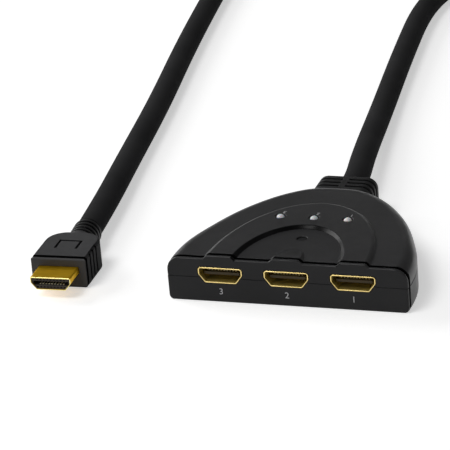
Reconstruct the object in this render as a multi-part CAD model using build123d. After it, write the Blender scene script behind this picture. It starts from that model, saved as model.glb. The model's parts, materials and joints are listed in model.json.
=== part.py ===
from build123d import *
import math
import os

# Video switch box: three sockets in a fan-shaped case, one button, three lamps, a cable with a plug.
# Millimetres. +X is to the right as seen from the sockets, +Y to the back, +Z up.
# The origin is on the floor, under the middle of the case with its strain relief.

# General
cut_over = 1.0
seat_gap = 0.05
loose_gap = 0.3

# Case
case_width = 80.0
case_depth = 65.8
case_height = 15.0
crown_radius = 4.5
base_radius = 1.6
wall = 2.0
floor_thickness = 2.0
parting_height = 8.5
seam_width = 0.3
seam_depth = 0.2
front_stub = 8.0
rear_wall = 4.2
# Outline of the case, from the front corner to the middle of the back
plan_shares = [
    (1.0, 0), (1.002, 0.12), (0.983, 0.228), (0.940, 0.334), (0.880, 0.440), (0.813, 0.547),
    (0.731, 0.653), (0.628, 0.757), (0.512, 0.849), (0.383, 0.924), (0.205, 0.986), (0, 1.0),
]

# Raised band, sunk arch and tongue on the top
band_rise = 1.1
band_half_width = 27.5
band_depth = 48.2
band_slope = 1.1
arch_half_width = 16.8
arch_depth = 27.4
arch_slope = 1.3
tongue_half_width = 5.6
tongue_depth = 11.6
tongue_slope = 1.4

# Rim of the front face and the groove behind it
rim_edge = 0.3
rim_width = 1.1
groove_width = 1.5
groove_depth = 1.0
face_corner_radius = 4.5

# Label recess in the underside
label_width = 34.0
label_length = 16.0
label_depth = 0.4
label_corner = 1.5
label_back = 34.0

# Sockets
socket_count = 3
socket_pitch = 22.1
socket_height = 9.32
socket_opening_width = 14.0
socket_opening_height = 4.55
socket_side = 2.0
socket_foot_width = 10.0
socket_corner = 0.55
socket_wall = 0.4
socket_depth = 12.0
socket_seat = 0.12
socket_recess = 0.0
socket_base_depth = 2.4
socket_leg_width = 1.0
socket_leg_length = 1.6
blade_width = 11.9
blade_thickness = 1.0
blade_recess = 1.9
contact_pitch = 1.0
contact_upper_count = 10
contact_lower_count = 9
contact_width = 0.45
contact_thickness = 0.12
contact_tip_setback = 1.2
tail_reach = 0.7
tail_foot = 0.9

# Circuit board
board_thickness = 1.6
board_top = 6.3
board_half_width = 30.2
board_rear_half_width = 20.0
board_straight = 20.0
board_rear = 44.0

# Button and tact switch
button_back = 20.0
button_radius = 1.65
button_gap = 0.1
button_sink = 0.35
button_travel_room = 0.6
button_roof_gap = 0.2
button_flange_radius = 2.6
button_flange_thickness = 1.2
button_crown = 0.4
switch_size = 6.0
switch_base_height = 3.0
switch_cover_height = 0.5
switch_well_radius = 2.5
switch_well_floor = 0.8
stem_radius = 1.7
stem_gap = 0.1
stem_flange_radius = 2.3
stem_flange_thickness = 0.8
stem_flange_gap = 0.1
dome_radius = 2.35
dome_thickness = 0.12
dome_shoulder_share = 0.55
dome_crown_share = 0.3

# Lamps
lamp_count = 3
lamp_pitch = 11.48
lamp_back = 34.68
lamp_radius = 1.45
lamp_hole_radius = 1.75
lamp_flange_radius = 1.9
lamp_flange_height = 1.0
lamp_length = 5.3
lamp_proud = 0.55
lead_size = 0.5
lead_pitch = 2.54

# Chips and small parts on the board
chip_size = 7.0
chip_height = 1.0
chip_back = 28.0
chip_lift = 0.1
pin_count_per_side = 12
pin_pitch = 0.5
pin_width = 0.22
pin_reach = 0.8
pin_thickness = 0.15
input_chip_width = 4.9
input_chip_length = 3.9
input_chip_height = 1.4
capacitor_width = 2.0
capacitor_length = 1.25
capacitor_height = 1.1
resistor_width = 1.6
resistor_length = 0.8
resistor_height = 0.45
# Places on the board, across and back, as shares of its half width and its depth
input_chip_shares = [(-0.64, 0.44), (0.64, 0.44), (-0.27, 0.46)]
capacitor_shares = [(-0.50, 0.62), (0.50, 0.62), (-0.26, 0.62), (0.26, 0.62), (0.27, 0.46), (-0.45, 0.72)]
resistor_shares = [(-0.56, 0.78), (-0.20, 0.90), (0.20, 0.90), (0.56, 0.78), (0.45, 0.44), (-0.45, 0.44)]

# Screws
case_screw_places = [(-33.4, 9.6), (33.4, 9.6), (-18.6, 50.0), (18.6, 50.0)]
case_post_radius = 3.0
case_screw_radius = 1.1
case_head_radius = 2.2
case_head_height = 1.6
case_head_sink = 1.0
case_screw_reach = 3.5
board_screw_across = 26.6
board_screw_back = 18.2
board_post_radius = 2.3
board_screw_radius = 0.9
board_head_radius = 1.8
board_head_height = 1.1
board_screw_reach = 3.2
screw_gap = 0.1
cross_width = 0.5
cross_depth = 0.6
cross_length_share = 1.2
head_round_share = 0.33

# Strain relief at the back of the case
relief_width = 21.0
relief_height = 11.6
relief_corner = 3.8
relief_reach = 11.7
relief_bury = 2.1
relief_axis = 7.45
relief_neck_width = 17.0
relief_neck_height = 8.6
relief_neck_corner = 2.5
relief_flange_width = 19.0
relief_flange_height = 10.0
relief_flange_thickness = 2.0
relief_groove_count = 3
relief_groove_width = 1.3
relief_groove_pitch = 2.9
relief_groove_depth = 1.1
relief_groove_start = 2.6
relief_rib_width = 2.4
relief_edge = 0.5

# Cable and its inner wires
cable_diameter = 8.8
cable_jacket_end = 9.0
bundle_radius = 3.1
bundle_bare = 1.6
wire_radius = 0.55
wire_upper_count = 5
wire_lower_count = 4
wire_row_offset = 1.2
wire_bundle_pitch = 1.15
wire_pad_pitch = 2.6
wire_pad_length = 2.5
wire_start_run = 2.0

# Plug
plug_axis_x = -79.2
plug_face_back = 3.6
plug_turn = 2.2
plug_width = 19.0
plug_height = 10.6
plug_length = 21.8
plug_shoulder_radius = 7.0
plug_edge = 0.7
plug_rim_width = 0.6
plug_groove_width = 1.4
plug_groove_depth = 0.8
plug_side_groove_count = 3
plug_side_groove_pitch = 3.1
plug_side_groove_start = 4.7
plug_side_groove_width = 0.9
plug_side_groove_depth = 0.6
plug_mark_width = 8.0
plug_mark_length = 6.4
plug_mark_line = 0.7
plug_mark_depth = 0.35
plug_mark_back = 11.4
nose_width = 13.9
nose_height = 4.45
nose_foot_width = 9.9
nose_side = 1.95
nose_corner = 0.5
nose_wall = 0.3
nose_length = 9.0
nose_bury = 4.0
insulator_gap = 0.02
insulator_recess = 0.5
insulator_slot_width = 12.1
insulator_slot_height = 1.5
insulator_slot_depth = 8.0
plug_contact_width = 0.45
plug_contact_height = 0.3
plug_contact_setback = 0.9
can_width = 13.0
can_height = 6.6
can_length = 7.0
can_wall = 0.4
can_gap = 0.2
neck_turn = 3.8
neck_bury = 2.0
neck_length = 15.0
neck_root_radius = 5.0
neck_ring_radius = 4.95
neck_groove_radius = 4.5
neck_ring_count = 4
neck_ring_width = 1.5
neck_groove_width = 0.9
neck_collar_length = 4.0

# Derived places
front_y = -(case_depth + relief_reach) / 2
relief_back_y = front_y + case_depth + relief_reach
bulkhead_y = front_y + case_depth - rear_wall
band_top = case_height + band_rise
roof_height = case_height - wall
board_bottom = board_top - board_thickness
board_front = wall + loose_gap
board_depth = board_rear - board_front
cable_radius = cable_diameter / 2
socket_bottom = socket_height - socket_opening_height / 2 - socket_wall
socket_xs = [socket_pitch * (i - (socket_count - 1) / 2) for i in range(socket_count)]
lamp_xs = [lamp_pitch * (i - (lamp_count - 1) / 2) for i in range(lamp_count)]
plug_axis_z = plug_height / 2
plug_face_y = front_y + plug_face_back
neck_along = Vector(0, 1, 0).rotate(Axis.Z, neck_turn)
neck_start = Vector(plug_axis_x, plug_face_y + plug_length - neck_bury, plug_axis_z)
plug_pivot = Pos(plug_axis_x, plug_face_y, 0)

# Route of the free cable, from the strain relief to the plug's neck, chosen by hand.
# It runs straight out of each end, lies on the floor and turns back in one wide bend.
cable_first_run = 9.5
cable_last_run = 24.0
cable_middle = [
    (-4.4, 75.2, 6.7), (-10.2, 121.2, 4.4), (-17.4, 183.2, 4.4), (-22.9, 241.2, 4.4),
    (-17.0, 277.2, 4.4), (-34.7, 307.4, 4.4), (-67.4, 319.8, 4.4), (-100.6, 308.8, 4.4),
    (-119.5, 279.3, 4.4), (-115.4, 243.5, 4.4), (-107.3, 183.2, 4.4), (-97.4, 121.2, 4.4),
    (-89.9, 63.2, 4.5),
]
arc_share = 0.45


def upright(sketch, x, y, z, height):
    return extrude(Plane(origin=(x, y, z)) * sketch, amount=height)


def facing_front(x, y, z):
    return Plane(origin=(x, y, z), x_dir=(1, 0, 0), z_dir=(0, -1, 0))


def to_back(sketch, x, y, z, length):
    return extrude(facing_front(x, y, z) * sketch, amount=-length)


def brick(x, y, z, width, depth, height):
    """A block centred on x, from y to the back and from z upwards."""
    return Pos(x, y + depth / 2, z + height / 2) * Box(width, depth, height)


def rounded_hexagon(width, height, side, foot, corner, grow=0):
    """The socket's outline: wide at the top, with its lower corners cut off."""
    half, up, half_foot = width / 2 + grow, height / 2 + grow, foot / 2 + grow / 2
    shoulder = up - side - grow
    outline = Polyline(
        (-half, up), (half, up), (half, shoulder), (half_foot, -up),
        (-half_foot, -up), (-half, shoulder), close=True,
    )
    face = make_face(outline)
    return fillet(face.vertices(), corner + grow)


def plan_face(half_width, depth):
    right = [(half_width * across, depth * back) for across, back in plan_shares]
    points = [(-x, y) for x, y in right] + list(reversed(right[:-1]))
    fan = Spline(*points)
    stub = Polyline(points[-1], (half_width, -front_stub), (-half_width, -front_stub), points[0])
    return make_face(Curve() + [fan, stub])


def half_ellipse_rise(half_width, depth, slope, z, rise):
    """A low mound on an ellipse, its sides leaning in by the slope over its rise."""
    lower = Pos(0, front_y, z) * Ellipse(half_width, depth)
    upper = Pos(0, front_y, z + rise) * Ellipse(half_width - slope, depth - slope)
    return loft([lower, upper], ruled=True)


def case_blank():
    body = Pos(0, front_y, 0) * extrude(plan_face(case_width / 2, case_depth), amount=case_height)
    sill = front_y - front_stub + cut_over
    top_edges = body.edges().group_by(Axis.Z)[-1].filter_by(lambda e: e.center().Y > sill)
    body = fillet(top_edges, crown_radius)
    base_edges = body.edges().group_by(Axis.Z)[0].filter_by(lambda e: e.center().Y > sill)
    return fillet(base_edges, base_radius)


def tongue_wedge():
    mound = half_ellipse_rise(tongue_half_width, tongue_depth, tongue_slope, case_height, band_rise)
    ramp = make_face(Polyline(
        (front_y - front_stub, case_height), (front_y - front_stub, band_top),
        (front_y + rim_width, band_top), (front_y + tongue_depth, case_height), close=True,
    ))
    slab = extrude(Plane(origin=(-case_width / 2, 0, 0), x_dir=(0, 1, 0), z_dir=(1, 0, 0)) * ramp,
                   amount=case_width)
    return mound & slab


def rim_groove():
    """The groove behind the rim, over the top and down both sides of the case."""
    slab = brick(0, front_y + rim_width, base_radius, case_width * 2, groove_width, case_height * 2)
    half = case_width / 2 - groove_depth
    low = case_height - groove_depth
    high = band_top - groove_depth
    steps = [(tongue_half_width - tongue_slope - groove_depth / 2, high),
             (tongue_half_width - groove_depth / 2, low),
             (arch_half_width + groove_depth / 2, low),
             (arch_half_width + arch_slope + groove_depth / 2, high),
             (band_half_width - band_slope - groove_depth / 2, high),
             (band_half_width - groove_depth / 2, low),
             (half, low), (half, 0)]
    points = [(-x, z) for x, z in reversed(steps)] + steps
    face = make_face(Polyline(*points, close=True))
    corners = [v for v in face.vertices() if abs(v.X) > band_half_width and v.Y > parting_height]
    core = fillet(corners, face_corner_radius - groove_depth)
    return slab - to_back(core, 0, front_y, 0, rim_width + groove_width + cut_over)


def seam():
    """The fine line round the case where the two shells meet."""
    z = parting_height - seam_width / 2
    slab = brick(0, front_y - case_depth, z, case_width * 2, case_depth * 3, seam_width)
    core = Pos(0, front_y, z) * extrude(
        plan_face(case_width / 2 - seam_depth, case_depth - seam_depth), amount=seam_width)
    front = brick(0, front_y - front_stub * 2, z, case_width * 2, front_stub * 2 + seam_depth, seam_width)
    return slab - (core - front)


def cavity():
    hollow = Pos(0, front_y, floor_thickness) * extrude(
        plan_face(case_width / 2 - wall, case_depth - wall), amount=roof_height - floor_thickness)
    front = brick(0, front_y - front_stub * 2, 0, case_width * 2, front_stub * 2 + wall, case_height)
    rear = brick(0, bulkhead_y, 0, case_width * 2, case_depth, case_height)
    return hollow - front - rear


def relief_section(width, height, corner, y, length):
    return to_back(RectangleRounded(width, height, corner), 0, y, relief_axis, length)


def relief_pocket():
    """The opening in the back wall: a wide mouth, and a narrow neck that the flange hooks behind."""
    mouth_y = front_y + case_depth - relief_bury
    mouth = relief_section(relief_width + 2 * seat_gap, relief_height + 2 * seat_gap,
                           relief_corner + seat_gap, mouth_y, case_depth)
    neck = relief_section(relief_neck_width + 2 * seat_gap, relief_neck_height + 2 * seat_gap,
                          relief_neck_corner, bulkhead_y - cut_over, case_depth)
    return mouth + neck


def socket_slots():
    slots = []
    for x in socket_xs:
        outline = rounded_hexagon(socket_opening_width, socket_opening_height, socket_side,
                                  socket_foot_width, socket_corner, socket_wall + socket_seat)
        slots.append(to_back(outline, x, front_y - cut_over, socket_height, wall + 2 * cut_over))
    return slots


def case_body():
    body = case_blank()
    body += half_ellipse_rise(band_half_width, band_depth, band_slope, case_height, band_rise)
    over_slope = arch_slope * (band_rise + cut_over) / band_rise
    body -= half_ellipse_rise(arch_half_width, arch_depth, -over_slope, case_height, band_rise + cut_over)
    body += tongue_wedge()
    body -= brick(0, front_y - case_depth, -cut_over, case_width * 2, case_depth, case_height * 2)
    rim_edges = body.edges().filter_by(lambda e: abs(e.center().Y - front_y) < seam_depth / 2)
    body = chamfer(rim_edges, rim_edge)
    body -= rim_groove()
    body -= seam()
    for slot in socket_slots():
        body -= slot
    return body


def case_posts(z, height, radius):
    return [upright(Circle(radius), x, front_y + y, z, height) for x, y in case_screw_places]


def top_shell(body):
    shell = body & brick(0, front_y - cut_over, parting_height, case_width * 2, case_depth * 2, case_height)
    shell -= cavity()
    for post in case_posts(parting_height, roof_height - parting_height, case_post_radius):
        shell += post
    for bore in case_posts(parting_height - cut_over, case_screw_reach + 2 * cut_over,
                           case_screw_radius + seat_gap):
        shell -= bore
    shell -= upright(Circle(button_radius + button_gap), 0, front_y + button_back,
                     roof_height - cut_over, case_height)
    for x in lamp_xs:
        shell -= upright(Circle(lamp_hole_radius), x, front_y + lamp_back,
                         roof_height - cut_over, case_height)
    return shell - relief_pocket()


def bottom_shell(body):
    shell = body & brick(0, front_y - cut_over, 0, case_width * 2, case_depth * 2, parting_height)
    shell -= cavity()
    for post in case_posts(floor_thickness, parting_height - floor_thickness, case_post_radius):
        shell += post
    for bore in case_posts(-cut_over, parting_height + 2 * cut_over, case_screw_radius + screw_gap):
        shell -= bore
    for sink in case_posts(-cut_over, cut_over + case_head_sink + case_head_height,
                           case_head_radius + screw_gap):
        shell -= sink
    for side in (-1, 1):
        x, y = side * board_screw_across, front_y + board_screw_back
        shell += upright(Circle(board_post_radius), x, y, floor_thickness, board_bottom - floor_thickness)
        shell -= upright(Circle(board_screw_radius + seat_gap), x, y,
                         board_bottom - board_screw_reach + board_thickness, board_screw_reach)
    recess = RectangleRounded(label_width, label_length, label_corner)
    shell -= upright(recess, 0, front_y + label_back, -cut_over, cut_over + label_depth)
    return shell - relief_pocket()


def circuit_board():
    front, bend, rear = (front_y + d for d in (board_front, board_straight, board_rear))
    face = make_face(Polyline(
        (-board_half_width, front), (board_half_width, front), (board_half_width, bend),
        (board_rear_half_width, rear), (-board_rear_half_width, rear), (-board_half_width, bend), close=True,
    ))
    board = extrude(Pos(0, 0, board_bottom) * face, amount=board_thickness)
    for side in (-1, 1):
        board -= upright(Circle(board_screw_radius + screw_gap), side * board_screw_across,
                         front_y + board_screw_back, board_bottom - cut_over, board_thickness + 2 * cut_over)
    return board


def socket_shell(x):
    outer = rounded_hexagon(socket_opening_width, socket_opening_height, socket_side,
                            socket_foot_width, socket_corner, socket_wall)
    inner = rounded_hexagon(socket_opening_width, socket_opening_height, socket_side,
                            socket_foot_width, socket_corner)
    y = front_y + socket_recess
    shell = to_back(outer, x, y, socket_height, socket_depth)
    for side in (-1, 1):
        for back in (wall + 2 * loose_gap, socket_depth - socket_leg_length):
            leg_x = x + side * (socket_foot_width - socket_leg_width) / 2
            shell += brick(leg_x, y + back, board_top, socket_leg_width, socket_leg_length,
                           socket_bottom + socket_wall / 2 - board_top)
    return shell - to_back(inner, x, y - cut_over, socket_height, socket_depth + 2 * cut_over)


def socket_tongue(x):
    base = rounded_hexagon(socket_opening_width, socket_opening_height, socket_side,
                           socket_foot_width, socket_corner, -seat_gap / 2)
    base_y = front_y + socket_recess + socket_depth - socket_base_depth
    blade_y = front_y + socket_recess + blade_recess
    tongue = to_back(base, x, base_y, socket_height, socket_base_depth)
    blade = Rectangle(blade_width, blade_thickness)
    return tongue + to_back(blade, x, blade_y, socket_height, base_y - blade_y)


def contact_row(x, count, side):
    """One row of contacts: a strip along the blade, and a tail behind that drops to the board."""
    base_front = front_y + socket_recess + socket_depth - socket_base_depth
    base_back = base_front + socket_base_depth
    tip = front_y + socket_recess + blade_recess + contact_tip_setback
    face_z = socket_height + side * blade_thickness / 2
    low = min(face_z, face_z + side * contact_thickness)
    reach = tail_reach if side < 0 else tail_reach + tail_foot + loose_gap
    row = []
    for i in range(count):
        cx = x + contact_pitch * (i - (count - 1) / 2)
        row.append(brick(cx, tip, low, contact_width, base_front - tip, contact_thickness))
        bar = brick(cx, base_back, low, contact_width, reach, contact_thickness)
        drop = brick(cx, base_back + reach, board_top, contact_width, contact_thickness,
                     low + contact_thickness - board_top)
        foot = brick(cx, base_back + reach, board_top, contact_width, tail_foot, contact_thickness)
        row.append(bar + drop + foot)
    return row


def socket_contacts(x):
    return contact_row(x, contact_upper_count, 1) + contact_row(x, contact_lower_count, -1)


def button_bottom():
    return board_top + switch_base_height + switch_cover_height + button_travel_room


def select_button():
    top = case_height - button_sink
    flange_z = roof_height - button_roof_gap - button_flange_thickness
    y = front_y + button_back
    cap = upright(Circle(button_radius), 0, y, button_bottom(), top - button_bottom())
    cap = fillet(cap.edges().group_by(Axis.Z)[-1], button_crown)
    return cap + upright(Circle(button_flange_radius), 0, y, flange_z, button_flange_thickness)


def switch_base():
    y = front_y + button_back
    base = brick(0, y - switch_size / 2, board_top, switch_size, switch_size, switch_base_height)
    return base - upright(Circle(switch_well_radius), 0, y, board_top + switch_well_floor, case_height)


def switch_cover():
    y = front_y + button_back
    z = board_top + switch_base_height
    cover = brick(0, y - switch_size / 2, z, switch_size, switch_size, switch_cover_height)
    return cover - upright(Circle(stem_radius + stem_gap), 0, y, z - cut_over, case_height)


def stem_bottom():
    return board_top + switch_base_height - stem_flange_gap - stem_flange_thickness


def switch_stem():
    y = front_y + button_back
    stem = upright(Circle(stem_radius), 0, y, stem_bottom(), button_bottom() - stem_bottom())
    return stem + upright(Circle(stem_flange_radius), 0, y, stem_bottom(), stem_flange_thickness)


def switch_dome():
    """The spring disc under the stem, a shallow cap that snaps flat when it is pressed."""
    low = board_top + switch_well_floor
    rise = stem_bottom() - low
    shoulder, crown = dome_radius * dome_shoulder_share, dome_radius * dome_crown_share
    outer = make_face(Polyline(
        (0, 0), (dome_radius, 0), (dome_radius, dome_thickness), (shoulder, rise - dome_thickness),
        (crown, rise), (0, rise), close=True,
    ))
    inner = make_face(Polyline(
        (0, -cut_over), (dome_radius - dome_thickness, -cut_over), (dome_radius - dome_thickness, 0),
        (shoulder - dome_thickness, rise - 2 * dome_thickness),
        (crown - dome_thickness, rise - dome_thickness), (0, rise - dome_thickness), close=True,
    ))
    side = Plane(origin=(0, front_y + button_back, low), x_dir=(1, 0, 0), z_dir=(0, -1, 0))
    return revolve(side * (outer - inner), axis=Axis((0, front_y + button_back, low), (0, 0, 1)))


def lamp(x):
    top = band_top + lamp_proud
    base = top - lamp_length
    y = front_y + lamp_back
    ball_z = top - lamp_radius
    body = upright(Circle(lamp_radius), x, y, base, ball_z - base) + Pos(x, y, ball_z) * Sphere(lamp_radius)
    return body + upright(Circle(lamp_flange_radius), x, y, base, lamp_flange_height)


def lamp_leads():
    base = band_top + lamp_proud - lamp_length
    y = front_y + lamp_back - lead_size / 2
    return [brick(x + side * lead_pitch / 2, y, board_top, lead_size, lead_size, base - board_top)
            for x in lamp_xs for side in (-1, 1)]


def switch_chip():
    return brick(0, front_y + chip_back - chip_size / 2, board_top + chip_lift,
                 chip_size, chip_size, chip_height)


def chip_pin():
    """One pin, from the chip's side outwards and down to the board."""
    mid = chip_lift + chip_height / 2
    bar = brick(0, 0, mid, pin_width, pin_reach / 2, pin_thickness)
    drop = brick(0, pin_reach / 2 - pin_thickness, 0, pin_width, pin_thickness, mid + pin_thickness)
    foot = brick(0, pin_reach / 2 - pin_thickness, 0,
                 pin_width, pin_reach / 2 + pin_thickness, pin_thickness)
    return bar + drop + foot


def chip_pins():
    pin = chip_pin()
    centre = Pos(0, front_y + chip_back, board_top)
    offsets = [pin_pitch * (i - (pin_count_per_side - 1) / 2) for i in range(pin_count_per_side)]
    return [centre * Rot(0, 0, turn) * Pos(offset, chip_size / 2, 0) * pin
            for turn in (0, 90, 180, 270) for offset in offsets]


def board_blocks(places, width, length, height):
    return [brick(across * board_half_width, front_y + board_front + back * board_depth - length / 2,
                  board_top, width, length, height) for across, back in places]


def screw(x, y, head_bottom, head_radius, head_height, shank_radius, reach, up):
    """A pan head screw along Z with a cross recess; up is 1 where the head is above the shank."""
    head = Pos(0, 0, head_height / 2) * Cylinder(head_radius, head_height)
    head = fillet(head.edges().group_by(Axis.Z)[-1], head_height * head_round_share)
    for turn in (0, 90):
        slot = Pos(0, 0, head_height) * Rot(0, 0, turn) * Box(
            head_radius * cross_length_share, cross_width, cross_depth * 2)
        head -= slot
    body = head + Pos(0, 0, -reach / 2) * Cylinder(shank_radius, reach)
    flip = Rot(0, 0, 0) if up > 0 else Rot(180, 0, 0)
    return Pos(x, y, head_bottom) * flip * body


def case_screws():
    z = case_head_sink + case_head_height
    reach = parting_height + case_screw_reach - z
    return [screw(x, front_y + y, z, case_head_radius, case_head_height, case_screw_radius, reach, -1)
            for x, y in case_screw_places]


def board_screws():
    return [screw(side * board_screw_across, front_y + board_screw_back, board_top, board_head_radius,
                  board_head_height, board_screw_radius, board_screw_reach, 1) for side in (-1, 1)]


def strain_relief():
    mouth_y = front_y + case_depth - relief_bury
    neck_y = bulkhead_y - seat_gap
    body = relief_section(relief_width, relief_height, relief_corner, mouth_y, relief_back_y - mouth_y)
    body = fillet(body.edges().group_by(Axis.Y)[-1], relief_edge)
    for i in range(relief_groove_count):
        y = front_y + case_depth + relief_groove_start + i * relief_groove_pitch
        ring = relief_section(relief_width * 2, relief_height * 2, relief_corner, y, relief_groove_width)
        ring -= relief_section(relief_width - 2 * relief_groove_depth,
                               relief_height - 2 * relief_groove_depth,
                               relief_corner - relief_groove_depth, y, relief_groove_width)
        ring -= brick(0, y, 0, relief_rib_width, relief_groove_width, case_height * 2)
        body -= ring
    body += relief_section(relief_neck_width, relief_neck_height, relief_neck_corner,
                           neck_y, mouth_y - neck_y)
    flange_y = neck_y - relief_flange_thickness
    body += relief_section(relief_flange_width, relief_flange_height, relief_corner, flange_y,
                           relief_flange_thickness)
    jacket_y = relief_back_y - cable_jacket_end
    body -= to_back(Circle(cable_radius + seat_gap), 0, jacket_y, relief_axis, case_depth)
    return body - to_back(Circle(bundle_radius + seat_gap), 0, flange_y - cut_over, relief_axis, case_depth)


def bundle_front():
    return bulkhead_y - seat_gap - relief_flange_thickness - bundle_bare


def cable_core():
    """The cable's end inside the strain relief: its jacket, then the bare bundle."""
    jacket_y = relief_back_y - cable_jacket_end
    jacket = to_back(Circle(cable_radius), 0, jacket_y, relief_axis, cable_jacket_end)
    return jacket + to_back(Circle(bundle_radius), 0, bundle_front(), relief_axis, jacket_y - bundle_front())


def inner_wires():
    """Insulated wires from the bundle to the board's back edge, one row on each face of the board."""
    rows = [(wire_upper_count, relief_axis + wire_row_offset, board_top + wire_radius),
            (wire_lower_count, relief_axis - wire_row_offset, board_bottom - wire_radius)]
    start, pad = bundle_front(), front_y + board_rear
    wires = []
    for count, from_z, to_z in rows:
        for i in range(count):
            place = i - (count - 1) / 2
            x0, x1 = place * wire_bundle_pitch, place * wire_pad_pitch
            path = FilletPolyline(
                (x0, start, from_z), (x0, start - wire_start_run, from_z),
                (x1, pad + wire_start_run, to_z), (x1, pad - wire_pad_length, to_z), radius=wire_radius * 2,
            )
            ring = Plane(origin=(x0, start, from_z), z_dir=(0, -1, 0)) * Circle(wire_radius)
            wires.append(sweep(ring, path=path))
    return wires


def cable_points():
    first = Vector(0, relief_back_y, relief_axis)
    out = first + Vector(0, cable_first_run, 0)
    neck_end = turned(Vertex(*(neck_start + neck_along * neck_length))).center()
    back = turned(Vertex(*(neck_start + neck_along * (neck_length + cable_last_run)))).center()
    return [first, out] + [Vector(*p) for p in cable_middle] + [back, neck_end]


def cable_radii(points):
    radii = []
    for before, here, after in zip(points, points[1:], points[2:]):
        run_in, run_out = here - before, after - here
        half_turn = math.radians(run_in.get_angle(run_out)) / 2
        radii.append(arc_share * min(run_in.length, run_out.length) / math.tan(half_turn))
    return radii


def cable():
    points = cable_points()
    radii = cable_radii(points)
    path = FilletPolyline(*points, radius=radii)
    ring = Plane(origin=points[0], z_dir=(0, 1, 0)) * Circle(cable_radius)
    tube = sweep(ring, path=path)
    plain = math.pi * cable_radius ** 2 * path.length
    print("cable radii", [round(r, 1) for r in radii])
    print("least radius in diameters", round(min(radii) / cable_diameter, 2))
    print("cable length", round(path.length, 1), "volume share", round(tube.volume / plain, 5))
    return tube


def turned(piece):
    """Turns a plug piece about the upright line through the middle of the plug's front face."""
    return plug_pivot * Rot(0, 0, plug_turn) * plug_pivot.inverse() * piece


def nose_outline(grow=0):
    return rounded_hexagon(nose_width, nose_height, nose_side, nose_foot_width, nose_corner, grow)


def plug_shell():
    y = plug_face_y - nose_length
    length = nose_length + nose_bury
    outer = to_back(nose_outline(), plug_axis_x, y, plug_axis_z, length)
    return outer - to_back(nose_outline(-nose_wall), plug_axis_x, y - cut_over, plug_axis_z,
                           length + 2 * cut_over)


def plug_insulator():
    y = plug_face_y - nose_length + insulator_recess
    length = nose_length + nose_bury - insulator_recess
    block = to_back(nose_outline(-nose_wall - insulator_gap), plug_axis_x, y, plug_axis_z, length)
    slot = Rectangle(insulator_slot_width, insulator_slot_height)
    return block - to_back(slot, plug_axis_x, y - cut_over, plug_axis_z, insulator_slot_depth + cut_over)


def plug_contacts():
    y = plug_face_y - nose_length + insulator_recess + plug_contact_setback
    length = insulator_slot_depth - plug_contact_setback
    contacts = []
    for side, count in ((1, contact_upper_count), (-1, contact_lower_count)):
        edge = plug_axis_z + side * insulator_slot_height / 2
        low = min(edge, edge - side * plug_contact_height)
        for i in range(count):
            x = plug_axis_x + contact_pitch * (i - (count - 1) / 2)
            contacts.append(brick(x, y, low, plug_contact_width, length, plug_contact_height))
    return contacts


def plug_can_block(grow, y, length):
    section = Rectangle(can_width + 2 * grow, can_height + 2 * grow)
    return to_back(section, plug_axis_x, y, plug_axis_z, length)


def plug_can():
    y = plug_face_y + nose_bury
    can = plug_can_block(0, y, can_length)
    can -= plug_can_block(-can_wall, y - cut_over, can_length - can_wall + cut_over)
    return can - to_back(Circle(bundle_radius), plug_axis_x, y, plug_axis_z, can_length * 2)


def plug_grip_blank():
    outline = Pos(plug_axis_x, plug_face_y + plug_length / 2) * Rectangle(plug_width, plug_length)
    outline = fillet(outline.vertices().group_by(Axis.Y)[-1], plug_shoulder_radius)
    grip = extrude(outline, amount=plug_height)
    return chamfer(grip.edges().group_by(Axis.Z)[-1] + grip.edges().group_by(Axis.Z)[0], plug_edge)


def plug_grooves():
    """The groove behind the front rim, and the grip grooves down both sides."""
    y = plug_face_y + plug_rim_width
    ring = brick(plug_axis_x, y, 0, plug_width * 2, plug_groove_width, plug_height)
    ring -= brick(plug_axis_x, y, 0, plug_width - 2 * plug_groove_depth, plug_groove_width,
                  plug_height - plug_groove_depth)
    cuts = [ring]
    for side in (-1, 1):
        for i in range(plug_side_groove_count):
            groove_y = plug_face_y + plug_side_groove_start + i * plug_side_groove_pitch
            x = plug_axis_x + side * plug_width / 2
            cuts.append(brick(x, groove_y, plug_edge * 2,
                              plug_side_groove_depth * 2, plug_side_groove_width, plug_height))
    return cuts


def plug_mark():
    """A plain pressed frame on the top of the grip, open towards the nose."""
    y = plug_face_y + plug_mark_back
    z = plug_height - plug_mark_depth
    frame = Rectangle(plug_mark_width, plug_mark_length)
    frame -= Pos(0, -plug_mark_line) * Rectangle(plug_mark_width - 2 * plug_mark_line, plug_mark_length)
    return upright(frame, plug_axis_x, y, z, plug_mark_depth + cut_over)


def neck_disc(along, length, radius):
    place = Plane(origin=neck_start + neck_along * along, z_dir=neck_along)
    return extrude(place * Circle(radius), amount=length)


def plug_neck():
    """The ringed neck, turned a little towards the cable."""
    neck = neck_disc(0, neck_length, neck_groove_radius)
    neck += neck_disc(0, neck_collar_length, neck_root_radius)
    for i in range(neck_ring_count):
        along = neck_collar_length + neck_groove_width + i * (neck_ring_width + neck_groove_width)
        neck += neck_disc(along, neck_ring_width, neck_ring_radius)
    return neck


def plug_grip():
    grip = plug_grip_blank()
    for cut in plug_grooves():
        grip -= cut
    grip -= plug_mark()
    grip -= to_back(nose_outline(seat_gap), plug_axis_x, plug_face_y - cut_over, plug_axis_z,
                    nose_bury + cut_over)
    grip -= plug_can_block(can_gap, plug_face_y + nose_bury - seat_gap, can_length + can_gap)
    return grip - neck_disc(0, neck_length, neck_root_radius + seat_gap)


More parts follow.
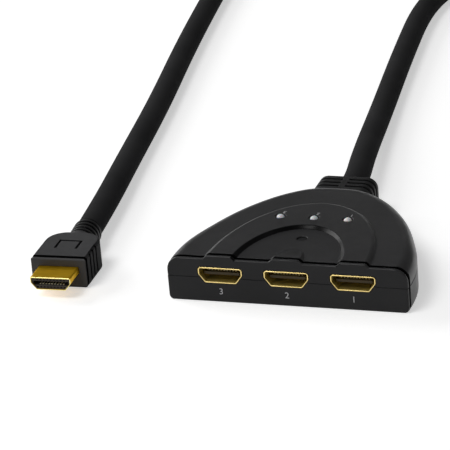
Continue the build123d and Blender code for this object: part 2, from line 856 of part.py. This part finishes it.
body = case_body()
parts = {
    "top_shell": top_shell(body),
    "bottom_shell": bottom_shell(body),
    "circuit_board": circuit_board(),
    "select_button": select_button(),
    "switch_base": switch_base(),
    "switch_cover": switch_cover(),
    "switch_stem": switch_stem(),
    "switch_dome": switch_dome(),
    "lamp_leads": lamp_leads(),
    "switch_chip": switch_chip(),
    "chip_pins": chip_pins(),
    "input_chips": board_blocks(input_chip_shares, input_chip_width, input_chip_length, input_chip_height),
    "capacitors": board_blocks(capacitor_shares, capacitor_width, capacitor_length, capacitor_height),
    "resistors": board_blocks(resistor_shares, resistor_width, resistor_length, resistor_height),
    "case_screws": case_screws(),
    "board_screws": board_screws(),
    "strain_relief": strain_relief(),
    "cable_core": cable_core(),
    "inner_wires": inner_wires(),
    "cable": cable(),
    "plug_grip": turned(plug_grip()),
    "plug_neck": turned(plug_neck()),
    "plug_shell": turned(plug_shell()),
    "plug_insulator": turned(plug_insulator()),
    "plug_contacts": [turned(contact) for contact in plug_contacts()],
    "plug_can": turned(plug_can()),
}
for number, x in enumerate(reversed(socket_xs), start=1):
    parts[f"socket_shell_{number}"] = socket_shell(x)
    parts[f"socket_tongue_{number}"] = socket_tongue(x)
    parts[f"socket_contacts_{number}"] = socket_contacts(x)
for number, x in enumerate(reversed(lamp_xs), start=1):
    parts[f"lamp_{number}"] = lamp(x)

os.makedirs("parts", exist_ok=True)
for name, solid in parts.items():
    shape = Compound(children=solid) if isinstance(solid, list) else solid
    export_step(shape, f"parts/{name}.step")
print(len(parts), "nodes written")
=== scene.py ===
import json
import math

import bmesh
import bpy
from mathutils import Matrix, Vector

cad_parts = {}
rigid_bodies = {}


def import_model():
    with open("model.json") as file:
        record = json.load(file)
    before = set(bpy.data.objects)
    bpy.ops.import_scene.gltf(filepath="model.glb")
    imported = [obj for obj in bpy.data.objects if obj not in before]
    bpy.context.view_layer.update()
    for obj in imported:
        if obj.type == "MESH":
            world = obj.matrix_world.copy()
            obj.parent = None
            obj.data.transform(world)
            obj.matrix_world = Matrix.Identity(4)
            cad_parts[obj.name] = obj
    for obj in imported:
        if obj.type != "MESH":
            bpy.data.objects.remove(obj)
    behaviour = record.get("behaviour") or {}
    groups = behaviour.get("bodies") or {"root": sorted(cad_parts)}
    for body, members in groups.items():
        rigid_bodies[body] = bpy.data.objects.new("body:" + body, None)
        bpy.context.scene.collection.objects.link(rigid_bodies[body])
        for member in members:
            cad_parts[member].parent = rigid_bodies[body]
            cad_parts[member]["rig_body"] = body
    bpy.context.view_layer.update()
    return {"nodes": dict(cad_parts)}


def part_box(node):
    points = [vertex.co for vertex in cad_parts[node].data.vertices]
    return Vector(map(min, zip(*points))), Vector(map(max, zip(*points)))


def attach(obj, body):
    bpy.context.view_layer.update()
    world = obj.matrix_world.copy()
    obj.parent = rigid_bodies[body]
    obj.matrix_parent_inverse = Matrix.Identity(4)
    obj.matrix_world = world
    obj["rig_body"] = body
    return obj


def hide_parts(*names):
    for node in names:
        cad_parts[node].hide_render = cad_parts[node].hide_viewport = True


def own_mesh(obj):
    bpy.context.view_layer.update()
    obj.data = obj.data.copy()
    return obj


# Video switch box with its cable and plug on a pale floor. Metres. +X is to the right as seen from
# the sockets, +Y goes to the cable end and +Z up.
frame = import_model()

# View
view_turn = math.radians(19.31)
view_tilt = math.radians(23.0)
view_roll = math.radians(4.75)
view_distance = 0.9
view_target = Vector((-0.02741, -0.01457, 0.01641))
view_lens = 219.4
view_far = 30.0

# Case
case_low, case_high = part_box("top_shell")
case_front = case_low.y
parting_z = case_low.z
band_top = case_high.z
band_half_width = 0.0275
band_depth = 0.0482
band_slope = 0.0011
arch_half_width = 0.0168
arch_depth = 0.0274
arch_wall_share = 0.12
tongue_half_width = 0.0056
tongue_depth = 0.0116
rim_width = 0.0011
rim_groove_width = 0.0015
socket_block_start = 0.0094
relief_low, relief_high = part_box("strain_relief")

# Plug
plug_turn = math.radians(2.2)
grip_face = Vector((-0.0792, -0.03515, 0.0053))
grip_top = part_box("plug_grip")[1].z
grip_rim_width = 0.0006
grip_groove_width = 0.0014
grip_frame_start = 0.006
grip_frame_reach = 0.005
grip_frame_depth = 0.0004
grip_half_width = 0.0095
flank_groove_depth = 0.0006
flank_groove_half_height = 0.004
flank_groove_span = (0.004, 0.0125)
neck_turn = math.radians(6.0)
neck_end = Vector((-0.08152, -0.00044, 0.0053))
neck_groove_radius = 0.0045
neck_collar_start = 0.011
nose_length = 0.009
insulator_recess = 0.0005
notch_count = 9
notch_pitch = 0.00115
notch_width = 0.00055
notch_height = 0.0005
notch_depth = 0.0001
notch_row_rise = 0.0013

# Cable
cable_diameter = 0.0088
cable_exit = (0, 0.03875, 0.00745)
cable_route = [
    cable_exit, (0, 0.04825, 0.00745), (-0.0044, 0.0752, 0.0067), (-0.0102, 0.1212, 0.0044),
    (-0.0174, 0.1832, 0.0044), (-0.0229, 0.2412, 0.0044), (-0.0170, 0.2772, 0.0044),
    (-0.0347, 0.3074, 0.0044), (-0.0674, 0.3198, 0.0044), (-0.1006, 0.3088, 0.0044),
    (-0.1195, 0.2793, 0.0044), (-0.1154, 0.2435, 0.0044), (-0.1073, 0.1832, 0.0044),
    (-0.0974, 0.1212, 0.0044), (-0.0899, 0.0632, 0.0045), (-0.0840, 0.0234, 0.0053),
    (-0.0815, -0.0010, 0.0053),
]
cable_roundness = 10
cable_steps = 16
cable_order = 3

# Rounding of the moulded edges
crown_rounding = 0.0008
case_rounding = 0.0003
relief_rounding = 0.0003
grip_rounding = 0.0002
neck_rounding = 0.00025
nose_rounding = 0.0002
nose_inner_share = 0.2
button_rounding = 0.00015
socket_rounding = 0.00015
tongue_rounding = 0.0001
dome_rounding = 0.00003
seam_rounding = 0.00005
sharp_angle = math.radians(28)
flat_angle = math.radians(0.4)
merge_distance = 0.000004
near = 0.0002
sunk = 0.00005
seam_reach = 0.0004
outline_slack_share = 0.03
broad_area = 0.00002
groove_floor_area = 0.00008
upright_limit = 0.5
steep_limit = 0.95
level_limit = 0.999

# Printed numbers
print_rise = 0.00003
capital_share = 0.7
socket_number_height = 0.0021
socket_number_z = 0.0037
lamp_number_height = 0.0017
lamp_number_back = 0.0031
lamp_number_aside = 0.0006

# Patterns on the surfaces, in cells a metre, and the marks they leave
flow_cells = 60
flow_detail = 3.0
sheen_cells = 180
sheen_detail = 4.0
grain_cells = 1400
rubber_grain_cells = 1100
jacket_grain_cells = 900
grain_depth = 0.00002
coarse_grain_depth = 0.00003
grain_strength_share = 0.35
plating_cells = 220
plating_mark_cells = 500
plating_mark_depth = 0.000003
tin_mark_depth = 0.00001
mark_detail = 3.0
mark_strength_share = 0.1
resin_cells = 500
resin_sheen_cells = 700
resin_scatter_share = 0.25
resin_scatter_reach = 0.0008
weave_cells = 900
lacquer_cells = 300
compound_cells = 1600
ceramic_cells = 1200
cover_cells = 500
paint_cells = 3000
plain_detail = 2.0
dark_pattern_share = 0.3
light_pattern_share = 0.7
cool_share = 1.03

# Floor and light. Each lamp has its name, its place, its width and height, and its power in watts.
floor_half = 8.0
floor_white = 0.82
floor_glow = 0.5
surround_grey = 0.11
lamps = [
    ("key", (-1.35, 0.5, 0.72), 0.9, 0.9, 13),
    ("front", (-0.25, -1.5, 0.27), 1.2, 0.3, 2.8),
    ("overhead", (-0.5, -0.6, 1.35), 0.7, 0.7, 10),
    ("right", (1.5, 0.3, 1.4), 1.2, 1.2, 1.2),
    ("low_back", (-0.9, 1.8, 0.12), 1.6, 0.2, 1.7),
]


class Tree:
    """A material's node tree, with short calls that add and join its nodes."""

    def __init__(self, name):
        self.material = bpy.data.materials.new(name)
        self.material.use_nodes = True
        self.nodes = self.material.node_tree.nodes
        self.links = self.material.node_tree.links
        self.shader = self.nodes["Principled BSDF"]

    def add(self, kind, **values):
        node = self.nodes.new(kind)
        for name, value in values.items():
            node.inputs[name.replace("_", " ")].default_value = value
        return node

    def set(self, **values):
        for name, value in values.items():
            self.shader.inputs[name.replace("_", " ")].default_value = value

    def place(self):
        """Where a point lies on the piece."""
        return self.add("ShaderNodeTexCoord").outputs["Object"]

    def noise(self, cells, detail=plain_detail):
        """A noise of so many cells a metre."""
        node = self.add("ShaderNodeTexNoise", Scale=cells, Detail=detail)
        self.links.new(self.place(), node.inputs["Vector"])
        return node.outputs["Fac"]

    def weave(self, cells):
        """A net of so many cells a metre."""
        node = self.add("ShaderNodeTexVoronoi", Scale=cells)
        self.links.new(self.place(), node.inputs["Vector"])
        return node.outputs["Distance"]

    def gloss(self, pattern, low, high):
        """Roughness between two values, by a pattern."""
        spread = self.add("ShaderNodeMapRange", From_Min=dark_pattern_share, From_Max=light_pattern_share,
                          To_Min=low, To_Max=high)
        self.links.new(pattern, spread.inputs["Value"])
        self.links.new(spread.outputs["Result"], self.shader.inputs["Roughness"])

    def colour(self, pattern, dark, light):
        """Colour between two tones, by a pattern."""
        ramp = self.add("ShaderNodeValToRGB")
        places = (dark_pattern_share, light_pattern_share)
        for stop, place, tone in zip(ramp.color_ramp.elements, places, (dark, light)):
            stop.position = place
            stop.color = (*tone, 1)
        self.links.new(pattern, ramp.inputs["Fac"])
        self.links.new(ramp.outputs["Color"], self.shader.inputs["Base Color"])

    def bump(self, pattern, depth, strength):
        node = self.add("ShaderNodeBump", Distance=depth, Strength=strength)
        self.links.new(pattern, node.inputs["Height"])
        self.links.new(node.outputs["Normal"], self.shader.inputs["Normal"])


def grey(level):
    """A near-black plastic's tone, a touch cool."""
    return (level, level, level * cool_share)


def moulded(name, dark, light, low, high, specular, cells=grain_cells, depth=grain_depth):
    """Moulded plastic or rubber: fine spark-eroded grain, faint flow marks and uneven gloss."""
    tree = Tree(name)
    tree.set(Specular_IOR_Level=specular)
    tree.colour(tree.noise(flow_cells, flow_detail), dark, light)
    tree.gloss(tree.noise(sheen_cells, sheen_detail), low, high)
    tree.bump(tree.noise(cells), depth, grain_strength_share)
    return tree.material


def plated(name, dark, light, low, high, depth=plating_mark_depth):
    """Plated metal: a slightly uneven tone and fine marks in its gloss."""
    tree = Tree(name)
    tree.set(Metallic=1.0)
    tree.colour(tree.noise(plating_cells), dark, light)
    marks = tree.noise(plating_mark_cells, mark_detail)
    tree.gloss(marks, low, high)
    tree.bump(marks, depth, mark_strength_share)
    return tree.material


def speckled(name, dark, light, low, high, cells):
    """A fine speckle in both tone and gloss."""
    tree = Tree(name)
    grain = tree.noise(cells, mark_detail)
    tree.colour(grain, dark, light)
    tree.gloss(grain, low, high)
    return tree.material


def milky_resin():
    """The unlit lamps: diffusing resin, a little uneven in depth."""
    tree = Tree("milky_resin")
    tree.set(Subsurface_Weight=resin_scatter_share, Subsurface_Scale=resin_scatter_reach)
    tree.colour(tree.noise(resin_cells), (0.66, 0.66, 0.68), (0.74, 0.74, 0.76))
    tree.gloss(tree.noise(resin_sheen_cells), 0.22, 0.34)
    return tree.material


def solder_mask():
    """The board: green lacquer with the fine weave of the laminate under it."""
    tree = Tree("solder_mask")
    tree.colour(tree.weave(weave_cells), (0.01, 0.10, 0.035), (0.02, 0.17, 0.06))
    tree.gloss(tree.noise(lacquer_cells), 0.28, 0.42)
    return tree.material


# Each finish has its darkest and lightest tone, then its lowest and highest roughness. The moulded
# ones have their specular level after that.
case_plastic = moulded("case_plastic", grey(0.024), grey(0.030), 0.30, 0.38, 0.2)
# Painted shade for the case's front faces: a slightly darker copy of the case plastic with a lower specular
# level, so the front reads darker than the top.
front_painted_shade = moulded("front_painted_shade", grey(0.023), grey(0.028), 0.36, 0.44, 0.09)
grip_plastic = moulded("grip_plastic", grey(0.044), grey(0.054), 0.40, 0.52, 0.12,
                       depth=coarse_grain_depth)
# Painted shade for the plug's ribbed flanks: a darker, duller copy of the grip plastic.
flank_painted_shade = moulded("flank_painted_shade", grey(0.030), grey(0.038), 0.50, 0.60, 0.02,
                      depth=coarse_grain_depth)
relief_rubber = moulded("relief_rubber", grey(0.009), grey(0.013), 0.46, 0.60, 0.25,
                        rubber_grain_cells, coarse_grain_depth)
button_plastic = moulded("button_plastic", grey(0.010), grey(0.014), 0.30, 0.40, 0.25)
# Near-black painted shade for the faces in the grooves behind the fronts, in the frame on the plug's top,
# across its flanks and between the neck's rings.
painted_groove_shade = moulded("painted_groove_shade", grey(0.002), grey(0.003), 0.50, 0.60, 0.02)
# Near-black painted shade for the sloping wall round the sunk arch, glossy enough to keep its reflections.
painted_arch_shade = moulded("painted_arch_shade", grey(0.002), grey(0.003), 0.26, 0.32, 0.1)
# Painted shade for the tilted top of the tongue on the case: a darker, duller copy of the case plastic.
tongue_satin = moulded("tongue_satin", grey(0.017), grey(0.022), 0.40, 0.50, 0.06)
insulator_plastic = moulded("insulator_plastic", (0.055, 0.047, 0.041), (0.068, 0.058, 0.050),
                            0.40, 0.52, 0.15)
# Near-black painted shade for the thin boxes that stand for each notch in the plug's insulator.
painted_notch_shade = moulded("painted_notch_shade", (0.004, 0.003, 0.002), (0.007, 0.005, 0.004), 0.50, 0.60, 0.05)
# The socket tongues' black plastic given an olive tint: painted reflection of the gold round them.
tongue_plastic = moulded("tongue_plastic", (0.040, 0.028, 0.008), (0.058, 0.040, 0.012), 0.25, 0.40, 0.25)
cable_rubber = moulded("cable_rubber", grey(0.026), grey(0.032), 0.62, 0.72, 0.005,
                       jacket_grain_cells, coarse_grain_depth)
gilt_rim = plated("gilt_rim", (0.86, 0.66, 0.25), (0.92, 0.72, 0.31), 0.26, 0.32)
# The sockets' inside plating: rougher than the rims, which is real, and darker, which is painted shade
# inside the sockets.
gilt_inside_painted_shade = plated("gilt_inside_painted_shade", (0.60, 0.48, 0.14), (0.66, 0.53, 0.17), 0.52, 0.60)
gilt_nose = plated("gilt_nose", (0.76, 0.46, 0.010), (0.82, 0.51, 0.016), 0.47, 0.53)
# Painted highlight for the front faces of the plug's nose: a paler, glossier copy of its gold.
gilt_painted_highlight = plated("gilt_painted_highlight", (0.93, 0.80, 0.30), (0.97, 0.85, 0.36), 0.22, 0.30)
gilt_contact = plated("gilt_contact", (0.92, 0.80, 0.52), (0.97, 0.88, 0.64), 0.42, 0.52)
tinned = plated("tinned", (0.58, 0.58, 0.60), (0.70, 0.70, 0.72), 0.25, 0.40, tin_mark_depth)
zinc = plated("zinc", (0.48, 0.48, 0.50), (0.60, 0.60, 0.62), 0.28, 0.42, tin_mark_depth)
resin = milky_resin()
green_mask = solder_mask()
chip_compound = speckled("chip_compound", grey(0.012), grey(0.020), 0.50, 0.65, compound_cells)
ceramic = speckled("ceramic", (0.34, 0.22, 0.11), (0.46, 0.31, 0.17), 0.40, 0.55, ceramic_cells)
wire_cover = speckled("wire_cover", (0.30, 0.04, 0.035), (0.42, 0.07, 0.06), 0.32, 0.42, cover_cells)
print_paint = speckled("print_paint", (0.40, 0.40, 0.41), (0.52, 0.52, 0.53), 0.55, 0.70, paint_cells)

# The material and the record's slot of each node. A node of a numbered family goes by the family.
finishes = {
    "top_shell": (case_plastic, "case_black"), "bottom_shell": (case_plastic, "case_black"),
    "circuit_board": (green_mask, "board_green"), "select_button": (button_plastic, "button_black"),
    "switch_base": (chip_compound, "chip_black"), "switch_cover": (tinned, "tin"),
    "switch_stem": (button_plastic, "button_black"), "switch_dome": (tinned, "tin"),
    "lamp_leads": (tinned, "tin"), "switch_chip": (chip_compound, "chip_black"),
    "chip_pins": (tinned, "tin"), "input_chips": (chip_compound, "chip_black"),
    "capacitors": (ceramic, "capacitor_tan"), "resistors": (chip_compound, "chip_black"),
    "case_screws": (zinc, "screw_steel"), "board_screws": (zinc, "screw_steel"),
    "strain_relief": (relief_rubber, "relief_black"), "cable_core": (cable_rubber, "cable_black"),
    "inner_wires": (wire_cover, "wire_cover"), "cable": (cable_rubber, "cable_black"),
    "plug_grip": (grip_plastic, "plug_black"), "plug_neck": (relief_rubber, "relief_black"),
    "plug_shell": (gilt_nose, "gilt"), "plug_insulator": (insulator_plastic, "insulator_black"),
    "plug_contacts": (gilt_contact, "contact_gilt"), "plug_can": (tinned, "tin"),
    "socket_shell": (gilt_rim, "gilt"), "socket_tongue": (tongue_plastic, "insulator_black"),
    "socket_contacts": (gilt_contact, "contact_gilt"), "lamp": (resin, "lamp_grey"),
}


def dress(obj, node_name):
    """Gives an object the material of a node."""
    family = node_name if node_name in finishes else node_name.rsplit("_", 1)[0]
    material, slot = finishes[family]
    obj.data.materials.clear()
    obj.data.materials.append(material)


def add_object(name, data):
    obj = bpy.data.objects.new(name, data)
    bpy.context.scene.collection.objects.link(obj)
    return obj


def middle_of(edge):
    return (edge.verts[0].co + edge.verts[1].co) / 2


def fully(edge):
    """Every sharp edge takes all of the rounding."""
    return 1.0


def on_close_joint(edge):
    """Whether an edge is on the seam between the shells, or at the opening for the strain relief."""
    parting = all(abs(v.co.z - parting_z) < seam_reach for v in edge.verts)
    spans = zip(relief_low, middle_of(edge), relief_high)
    return parting or all(low - seam_reach < at < high + seam_reach for low, at, high in spans)


def bottom_share(edge):
    """The edges of a close joint take next to no rounding."""
    return seam_rounding / case_rounding if on_close_joint(edge) else 1.0


def top_share(edge):
    """The raised band's outer edge takes all of the crown's rounding, and the other edges take less.
    The short tongue's own edges run out to nothing and take none."""
    if on_close_joint(edge):
        return seam_rounding / crown_rounding
    middle = middle_of(edge)
    back = middle.y - case_front
    behind = back - rim_width - rim_groove_width
    on_tongue = math.hypot(middle.x / tongue_half_width, behind / tongue_depth) < 1 + outline_slack_share
    if behind > near and on_tongue:
        return 0.0
    outward = math.hypot(middle.x / (band_half_width - band_slope), back / (band_depth - band_slope))
    level = all(abs(v.co.z - band_top) < near for v in edge.verts)
    if level and behind > near and abs(outward - 1) < outline_slack_share:
        return 1.0
    return case_rounding / crown_rounding


def nose_share(edge):
    """The nose's outer edges take all of the rounding, and the thin inner ones a little."""
    low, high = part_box("plug_shell")
    place = middle_of(edge) - (low + high) / 2
    inner = any(face.normal.x * place.x + face.normal.z * place.z < 0
                and abs(face.normal.y) < upright_limit for face in edge.link_faces)
    return nose_inner_share if inner else 1.0


def faces_front(face):
    return face.normal.y < -steep_limit


def on_flank(face):
    """Whether a face is on one of the plug's ribbed sides."""
    return abs(face.normal.x) > upright_limit


def in_rim_groove(face):
    """Whether a face lies in the groove behind the rim of the case's front."""
    back = face.calc_center_median().y - case_front - rim_width
    wall = -near < back < rim_groove_width + near and abs(face.normal.z) < upright_limit
    floor = near < back < rim_groove_width - near and face.calc_area() < groove_floor_area
    return wall or floor


def in_grip_groove(face):
    """Whether a face lies in the groove behind the front of the plug's grip, in the frame pressed into
    its top, or in a groove across one of its flanks."""
    place = Matrix.Rotation(-plug_turn, 3, "Z") @ (face.calc_center_median() - grip_face)
    behind_front = grip_rim_width - near < place.y < grip_rim_width + grip_groove_width + near
    depth = grip_top - grip_face.z - place.z
    over_frame = place.y > grip_frame_start and abs(place.x) < grip_frame_reach
    start, end = flank_groove_span
    on_side = start < place.y < end and abs(place.z) < flank_groove_half_height
    inward = grip_half_width - abs(place.x)
    in_flank = on_side and near < inward < flank_groove_depth + near
    return behind_front or (over_frame and sunk < depth < grip_frame_depth) or in_flank


def neck_reach(face):
    """How far a face lies up the plug's neck from the cable, and how far out from its axis."""
    up = Vector((math.sin(neck_turn), -math.cos(neck_turn), 0))
    place = face.calc_center_median() - neck_end
    return place.dot(up), (place - place.dot(up) * up).length


def in_neck_groove(face):
    """Whether a face lies between two of the neck's rings."""
    return neck_reach(face)[1] < neck_groove_radius + near


def on_neck_collar(face):
    """Whether a face is on the plain collar where the neck goes into the grip."""
    return neck_reach(face)[0] > neck_collar_start - sunk


def outline_share(face, half_width, depth):
    """How far out a face lies from the middle of the case's front, as a share of an outline's reach."""
    place = face.calc_center_median()
    return math.hypot(place.x / half_width, (place.y - case_front) / depth)


def in_arch_wall(face):
    """Whether a face is part of the sloping wall round the sunk arch."""
    on_outline = abs(outline_share(face, arch_half_width, arch_depth) - 1) < arch_wall_share
    return on_outline and upright_limit < face.normal.z < steep_limit


def on_tongue_top(face):
    """Whether a face is the tongue's own top, which runs down to the floor of the arch."""
    inside = outline_share(face, tongue_half_width, tongue_depth) < 1
    return inside and steep_limit < face.normal.z < level_limit


def socket_middle(number):
    low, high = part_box(f"socket_tongue_{number}")
    return (low + high) / 2


def looks_in(face):
    """Whether a face of a socket's shell looks in at the middle line of its own socket."""
    place = face.calc_center_median()
    outward = place - min(map(socket_middle, (1, 2, 3)), key=lambda middle: abs(middle.x - place.x))
    return outward.x * face.normal.x + outward.z * face.normal.z < 0


def at_socket_back(face):
    """Whether a face lies at the back of its socket, on the block that holds the tongue."""
    return face.calc_center_median().y > case_front + socket_block_start


def cleaned(node_name, join_flats):
    """A node's mesh with its doubles merged and, where asked, each flat side made one face."""
    bm = bmesh.new()
    bm.from_mesh(frame["nodes"][node_name].data)
    bmesh.ops.remove_doubles(bm, verts=bm.verts, dist=merge_distance)
    bmesh.ops.dissolve_degenerate(bm, edges=bm.edges, dist=merge_distance)
    if join_flats:
        bmesh.ops.dissolve_limit(bm, angle_limit=flat_angle, verts=bm.verts, edges=bm.edges)
    bmesh.ops.recalc_face_normals(bm, faces=bm.faces)
    return bm


def weigh_edges(bm, share):
    """Notes on each sharp edge how much of the piece's rounding it takes."""
    weight = bm.edges.layers.float.new("bevel_weight_edge")
    for edge in bm.edges:
        if len(edge.link_faces) == 2 and edge.calc_face_angle(0) > sharp_angle:
            edge[weight] = share(edge)


def add_rounding(piece, radius, segments):
    bevel = piece.modifiers.new("rounding", "BEVEL")
    bevel.width = radius
    bevel.segments = segments
    bevel.limit_method = "WEIGHT"
    bevel.miter_outer = "MITER_ARC"
    bevel.harden_normals = True
    bevel.use_clamp_overlap = False


def rounded_copy(node_name, name, radius, segments=2, share=fully, others=(), join_flats=True):
    """Shows a copy of a node with its sharp edges rounded. Each of the others is a material, mostly
    painted shade, and the test that picks the faces it covers."""
    node = frame["nodes"][node_name]
    bm = cleaned(node_name, join_flats)
    weigh_edges(bm, share)
    for face in bm.faces:
        face.smooth = face.calc_area() < broad_area
        face.material_index = next((i + 1 for i, (_, test) in enumerate(others) if test(face)), 0)
    mesh = bpy.data.meshes.new(name)
    piece = add_object(name, mesh)
    dress(piece, node_name)
    for material, _ in others:
        mesh.materials.append(material)
    bm.to_mesh(mesh)
    bm.free()
    if "custom_normal" in mesh.attributes:
        mesh.attributes.remove(mesh.attributes["custom_normal"])
    add_rounding(piece, radius, segments)
    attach(piece, node["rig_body"])
    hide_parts(node_name)
    return piece


def rounded_pieces():
    # The case's grooves, arch wall, tongue top and fronts take painted shade, as do the plug's grooves,
    # flanks and neck grooves and the sockets' insides. The nose's front takes a painted highlight.
    rounded_copy("top_shell", "case_top", crown_rounding, 4, top_share, (
        (painted_groove_shade, in_rim_groove), (painted_arch_shade, in_arch_wall), (tongue_satin, on_tongue_top),
        (front_painted_shade, faces_front)))
    rounded_copy("bottom_shell", "case_bottom", case_rounding, 3, bottom_share, [(front_painted_shade, faces_front)])
    rounded_copy("strain_relief", "relief_block", relief_rounding)
    rounded_copy("select_button", "button_cap", button_rounding)
    rounded_copy("plug_grip", "grip_body", grip_rounding, others=(
        (painted_groove_shade, in_grip_groove), (flank_painted_shade, on_flank)))
    rounded_copy("plug_neck", "neck_rings", neck_rounding, others=(
        (painted_groove_shade, in_neck_groove), (grip_plastic, on_neck_collar)))
    rounded_copy("plug_shell", "nose_shell", nose_rounding, 3, nose_share,
                 others=[(gilt_painted_highlight, faces_front)], join_flats=False)
    for number in (1, 2, 3):
        rounded_copy(f"socket_shell_{number}", f"socket_frame_{number}", socket_rounding,
                     others=[(gilt_inside_painted_shade, looks_in)], join_flats=False)
        rounded_copy(f"socket_tongue_{number}", f"socket_blade_{number}", tongue_rounding,
                     others=[(gilt_inside_painted_shade, at_socket_back)], join_flats=False)


def spring_dome():
    """The tact switch's spring dome, shown as a rounded copy with a mesh of its own."""
    dome = rounded_copy("switch_dome", "spring_dome", dome_rounding)
    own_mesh(dome)


def insulator_notches():
    """Two rows of thin near-black boxes on the front of the plug's insulator, over and under its slot:
    painted shade that stands for each notch opening.
    """
    bm = bmesh.new()
    shape = Matrix.Diagonal((notch_width, notch_depth, notch_height, 1))
    for row in (-1, 1):
        for i in range(notch_count):
            across = notch_pitch * (i - (notch_count - 1) / 2)
            place = Matrix.Translation((across, insulator_recess - nose_length, row * notch_row_rise))
            bmesh.ops.create_cube(bm, size=1, matrix=place @ shape)
    turned = Matrix.Translation(grip_face) @ Matrix.Rotation(plug_turn, 4, "Z")
    bmesh.ops.transform(bm, matrix=turned, verts=bm.verts)
    mesh = bpy.data.meshes.new("insulator_notches")
    bm.to_mesh(mesh)
    bm.free()
    mesh.materials.append(painted_notch_shade)
    notch_shade_boxes = add_object("insulator_notches", mesh)
    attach(notch_shade_boxes, "root")


def printed(name, text, height, place, turn):
    """Flat printed text, centred on a place and turned to lie on its surface."""
    letters = bpy.data.curves.new(name, "FONT")
    letters.body = text
    letters.size = height / capital_share
    letters.align_x = "CENTER"
    letters.align_y = "CENTER"
    letters.extrude = print_rise / 2
    flat = add_object(name + "_outline", letters)
    mesh = bpy.data.meshes.new_from_object(flat)
    bpy.data.objects.remove(flat)
    mesh.transform(Matrix.Translation(place) @ turn)
    mesh.materials.clear()
    mesh.materials.append(print_paint)
    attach(add_object(name, mesh), "root")


def printed_numbers():
    """A number under each socket, and one behind each lamp that reads from the cable end."""
    facing_front = Matrix.Rotation(math.radians(90), 4, "X")
    facing_back = Matrix.Rotation(math.radians(180), 4, "Z")
    for number in (1, 2, 3):
        place = (socket_middle(number).x, case_front, socket_number_z)
        printed(f"socket_number_{number}", str(number), socket_number_height, place, facing_front)
        low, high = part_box(f"lamp_{number}")
        middle = (low + high) / 2
        place = (middle.x + lamp_number_aside, middle.y + lamp_number_back, band_top)
        printed(f"lamp_number_{number}", str(number), lamp_number_height, place, facing_back)


def cable_jacket():
    """The cable's outer jacket, one cord from the strain relief to the plug's neck."""
    curve = bpy.data.curves.new("cable_jacket", "CURVE")
    curve.dimensions = "3D"
    curve.bevel_depth = cable_diameter / 2
    curve.bevel_resolution = cable_roundness
    curve.resolution_u = cable_steps
    curve.use_fill_caps = True
    spline = curve.splines.new("NURBS")
    spline.points.add(len(cable_route) - 1)
    for point, place in zip(spline.points, cable_route):
        point.co = (*place, 1)
    spline.order_u = cable_order
    spline.use_endpoint_u = True
    jacket = add_object("cable_jacket", curve)
    dress(jacket, "cable")
    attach(jacket, "root")
    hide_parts("cable")


def camera():
    """A long lens at the photograph's angle."""
    ahead = Vector((-math.sin(view_turn), math.cos(view_turn), 0))
    level = Vector((math.cos(view_turn), math.sin(view_turn), 0))
    upright = Vector((0, 0, 1))
    forward = ahead * math.cos(view_tilt) - upright * math.sin(view_tilt)
    top = ahead * math.sin(view_tilt) + upright * math.cos(view_tilt)
    right = level * math.cos(view_roll) - top * math.sin(view_roll)
    up = level * math.sin(view_roll) + top * math.cos(view_roll)
    data = bpy.data.cameras.new("camera")
    data.lens = view_lens
    data.clip_end = view_far
    viewer = add_object("camera", data)
    turned = Matrix((right, up, -forward)).transposed().to_4x4()
    viewer.matrix_world = Matrix.Translation(view_target - forward * view_distance) @ turned
    bpy.context.scene.camera = viewer


def floor():
    """A pale floor that keeps the shadows, and looks white where it is seen or mirrored."""
    mesh = bpy.data.meshes.new("floor")
    bm = bmesh.new()
    bmesh.ops.create_grid(bm, size=floor_half)
    bm.to_mesh(mesh)
    bm.free()
    material = bpy.data.materials.new("floor_paper")
    material.use_nodes = True
    nodes, links = material.node_tree.nodes, material.node_tree.links
    nodes.clear()
    paper = nodes.new("ShaderNodeBsdfDiffuse")
    paper.inputs["Color"].default_value = (floor_white, floor_white, floor_white, 1)
    glow = nodes.new("ShaderNodeEmission")
    links.new(seen_strength(nodes, links), glow.inputs["Strength"])
    both = nodes.new("ShaderNodeAddShader")
    links.new(paper.outputs[0], both.inputs[0])
    links.new(glow.outputs[0], both.inputs[1])
    out = nodes.new("ShaderNodeOutputMaterial")
    links.new(both.outputs[0], out.inputs["Surface"])
    mesh.materials.append(material)
    add_object("floor", mesh)


def seen_strength(nodes, links):
    """The floor's glow where a camera, glossy or transmission ray meets it, and nothing elsewhere."""
    path = nodes.new("ShaderNodeLightPath")
    seen = path.outputs["Is Camera Ray"]
    for ray in ("Is Glossy Ray", "Is Transmission Ray"):
        either = nodes.new("ShaderNodeMath")
        either.operation = "MAXIMUM"
        links.new(seen, either.inputs[0])
        links.new(path.outputs[ray], either.inputs[1])
        seen = either.outputs[0]
    strength = nodes.new("ShaderNodeMath")
    strength.operation = "MULTIPLY"
    strength.inputs[1].default_value = floor_glow
    links.new(seen, strength.inputs[0])
    return strength.outputs[0]


def surround():
    """A dim grey all round, which softens every shadow a little."""
    world = bpy.data.worlds.new("surround")
    world.use_nodes = True
    background = world.node_tree.nodes["Background"]
    background.inputs["Color"].default_value = (surround_grey, surround_grey, surround_grey, 1)
    bpy.context.scene.world = world


def soft_lamp(name, place, width, height, power):
    """An area lamp that points at the origin."""
    data = bpy.data.lights.new(name, "AREA")
    data.shape = "RECTANGLE"
    data.size = width
    data.size_y = height
    data.energy = power
    lamp = add_object(name, data)
    lamp.location = place
    lamp.rotation_euler = (-Vector(place)).to_track_quat("-Z", "Y").to_euler()


for node_name, node in frame["nodes"].items():
    dress(node, node_name)
rounded_pieces()
spring_dome()
insulator_notches()
printed_numbers()
cable_jacket()
camera()
floor()
surround()
for lamp in lamps:
    soft_lamp(*lamp)
bpy.context.scene.view_settings.view_transform = "Standard"
